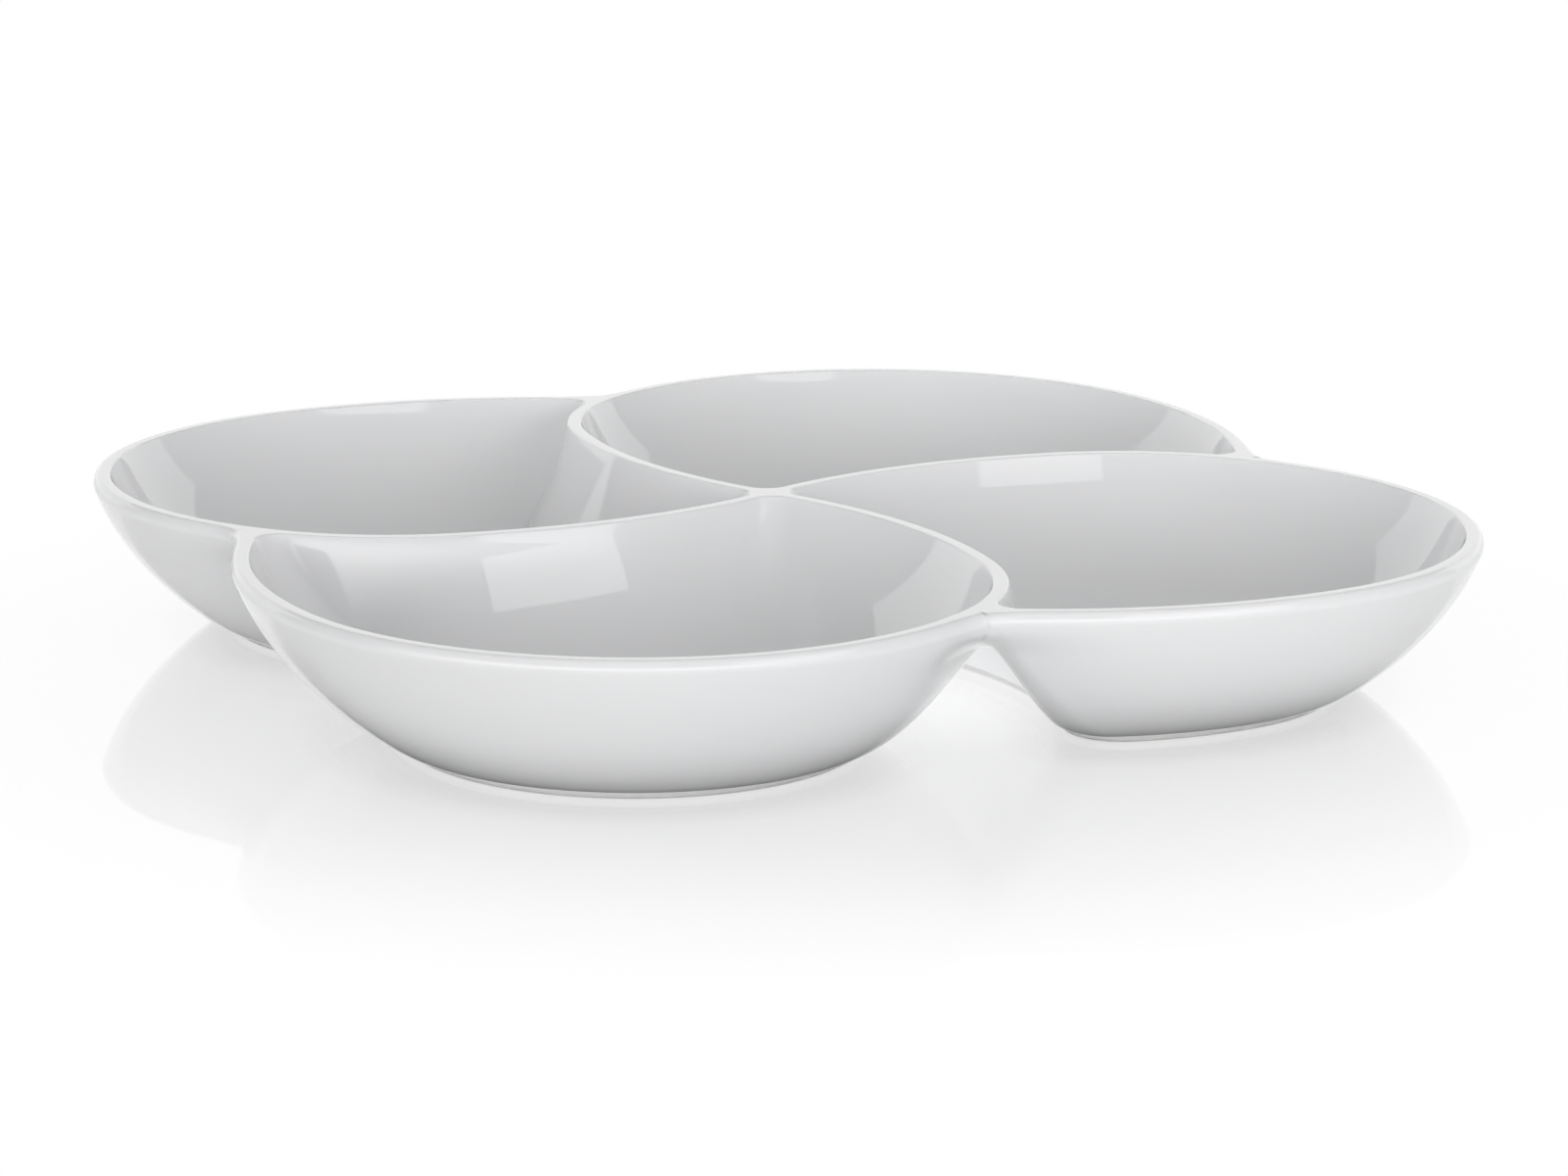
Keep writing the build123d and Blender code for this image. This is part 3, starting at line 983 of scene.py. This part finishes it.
class DISH_OT_studio(bpy.types.Operator):
    """Set the floor, the light and the camera"""
    bl_idname = "dish.studio"
    bl_label = "Studio"

    def execute(self, context):
        look = context.scene.dish_studio
        self.floor(look)
        self.sky(context, look)
        self.lamps(look)
        self.camera(context)
        context.scene.view_settings.view_transform = "Standard"
        return {"FINISHED"}

    def floor(self, look):
        """A wide level sheet under the dish."""
        mesh = bpy.data.meshes.new("floor")
        half = FLOOR_HALF
        mesh.from_pydata([(-half, -half, 0), (half, -half, 0), (half, half, 0), (-half, half, 0)],
                         [], [(0, 1, 2, 3)])
        mesh.materials.append(studio_floor(look))
        floor = add_object("floor", mesh)

    def sky(self, context, look):
        """A bright room with a white panel behind the dish; to the camera it is white all round.

        The panel spans 56 degrees to each side of straight behind, and 27 degrees upwards.
        """
        world = bpy.data.worlds.new("studio")
        world.use_nodes = True
        tree = world.node_tree
        tree.nodes.clear()
        place = add_node(tree, "ShaderNodeTexCoord")
        way = add_node(tree, "ShaderNodeSeparateXYZ", (), [(0, place.outputs["Generated"])])
        # The bright room in front reaches further round on the left
        turned_left = add_node(tree, "ShaderNodeMath",
                               [("operation", "MULTIPLY_ADD"), (1, LEFT_TURN)],
                               [(0, way.outputs["X"]), (2, way.outputs["Y"])])
        low, high = (
            add_node(tree, "ShaderNodeMapRange",
                     [SMOOTH, ("From Min", FRONT_SPAN[0]), ("From Max", FRONT_SPAN[1]),
                      ("To Min", side), ("To Max", front)], [("Value", turned_left)])
            for side, front in ((look.side, look.front), (look.upper, 0.0)))
        room = add_node(tree, "ShaderNodeMapRange",
                        [SMOOTH, ("From Min", UPPER_SPAN[0]), ("From Max", UPPER_SPAN[1])],
                        [("Value", way.outputs["Z"]), ("To Min", low), ("To Max", high)])
        room = add_node(tree, "ShaderNodeMapRange",
                        [SMOOTH, ("From Min", CEILING_SPAN[0]), ("From Max", CEILING_SPAN[1]),
                         ("To Max", look.ceiling)],
                        [("Value", way.outputs["Z"]), ("To Min", room)])
        aside = add_node(tree, "ShaderNodeMath", [("operation", "ABSOLUTE")],
                         [(0, way.outputs["X"])])
        inside = add_node(tree, "ShaderNodeMath",
                          [("operation", "MULTIPLY_ADD"), (1, -PANEL_SLOPE)],
                          [(0, aside), (2, way.outputs["Y"])])
        across = add_node(tree, "ShaderNodeMapRange",
                          [("From Min", -PANEL_SOFTNESS), ("From Max", PANEL_SOFTNESS)],
                          [("Value", inside)])
        upright = add_node(tree, "ShaderNodeMapRange",
                           [("From Min", PANEL_TOP[0]), ("From Max", PANEL_TOP[1])],
                           [("Value", way.outputs["Z"])])
        panel = add_node(tree, "ShaderNodeMath", [("operation", "MULTIPLY")],
                         [(0, across), (1, upright)])
        light = add_node(tree, "ShaderNodeMix", [("data_type", "FLOAT"), (3, look.panel)],
                         [(0, panel), (2, room)])
        path = add_node(tree, "ShaderNodeLightPath")
        seen = add_node(tree, "ShaderNodeMath", [("operation", "MAXIMUM")],
                        [(0, path.outputs["Is Camera Ray"]), (1, path.outputs["Is Transmission Ray"])])
        level = add_node(tree, "ShaderNodeMix", [("data_type", "FLOAT"), (3, 1.0)],
                         [(0, seen), (2, light)])
        white = add_node(tree, "ShaderNodeBackground", [("Color", (1, 1, 1, 1))],
                         [("Strength", level)])
        add_node(tree, "ShaderNodeOutputWorld", (), [("Surface", white)])
        context.scene.world = world

    def lamps(self, look):
        """One soft box in front on the right, aimed at the dish and tipped."""
        place, aim = Vector(BOX_PLACE), Vector(BOX_AIM)
        lamp = bpy.data.lights.new("soft box", "AREA")
        lamp.shape = "RECTANGLE"
        lamp.size, lamp.size_y = BOX_SIZE
        lamp.energy = look.window * math.pi * lamp.size * lamp.size_y
        holder = add_object("soft box", lamp)
        aimed = (place - aim).to_track_quat("Z", "Y").to_matrix().to_4x4()
        tip = Matrix.Rotation(BOX_TIP, 4, "Z")
        holder.matrix_world = Matrix.Translation(place) @ aimed @ tip
        holder.visible_camera = False

    def camera(self, context):
        """Camera at the photograph's angle: tilted down, turned a little, hardly rolled."""
        data = bpy.data.cameras.new("camera")
        data.sensor_fit = "HORIZONTAL"
        data.sensor_width = CAMERA_SENSOR
        data.lens = CAMERA_LENS
        data.clip_start, data.clip_end = CAMERA_SIGHT
        camera = add_object("camera", data)
        turn = Matrix.Rotation(CAMERA_TURN, 4, "Z")
        tilt = Matrix.Rotation(CAMERA_TILT, 4, "X")
        roll = Matrix.Rotation(CAMERA_ROLL, 4, "Z")
        camera.matrix_world = Matrix.Translation(CAMERA_PLACE) @ turn @ tilt @ roll
        context.scene.camera = camera


class DISH_PT_panel(bpy.types.Panel):
    """Sidebar panel of the serving bowl"""
    bl_idname = "DISH_PT_panel"
    bl_label = "Serving Bowl"
    bl_space_type = "VIEW_3D"
    bl_region_type = "UI"
    bl_category = "Serving Bowl"

    def draw(self, context):
        for group in ("dish_sizes", "dish_finish", "dish_studio"):
            settings = getattr(context.scene, group)
            box = self.layout.box()
            for name in settings.bl_rna.properties.keys():
                if name not in ("rna_type", "name"):
                    box.prop(settings, name)
        for step in (DISH_OT_bowls, DISH_OT_feet, DISH_OT_studio):
            self.layout.operator(step.bl_idname)


CLASSES = (DishSizes, DishFinish, StudioLook, DISH_OT_bowls, DISH_OT_feet, DISH_OT_studio,
           DISH_PT_panel)


def register():
    """Adds the add-on's classes and its settings to Blender."""
    for item in CLASSES:
        bpy.utils.register_class(item)
    bpy.types.Scene.dish_sizes = bpy.props.PointerProperty(type=DishSizes)
    bpy.types.Scene.dish_finish = bpy.props.PointerProperty(type=DishFinish)
    bpy.types.Scene.dish_studio = bpy.props.PointerProperty(type=StudioLook)


def unregister():
    """Takes them out again."""
    del bpy.types.Scene.dish_studio
    del bpy.types.Scene.dish_finish
    del bpy.types.Scene.dish_sizes
    for item in reversed(CLASSES):
        bpy.utils.unregister_class(item)


def main():
    """Makes everything in order."""
    register()
    bpy.ops.dish.bowls()
    bpy.ops.dish.feet()
    bpy.ops.dish.studio()


if __name__ == "__main__":
    main()
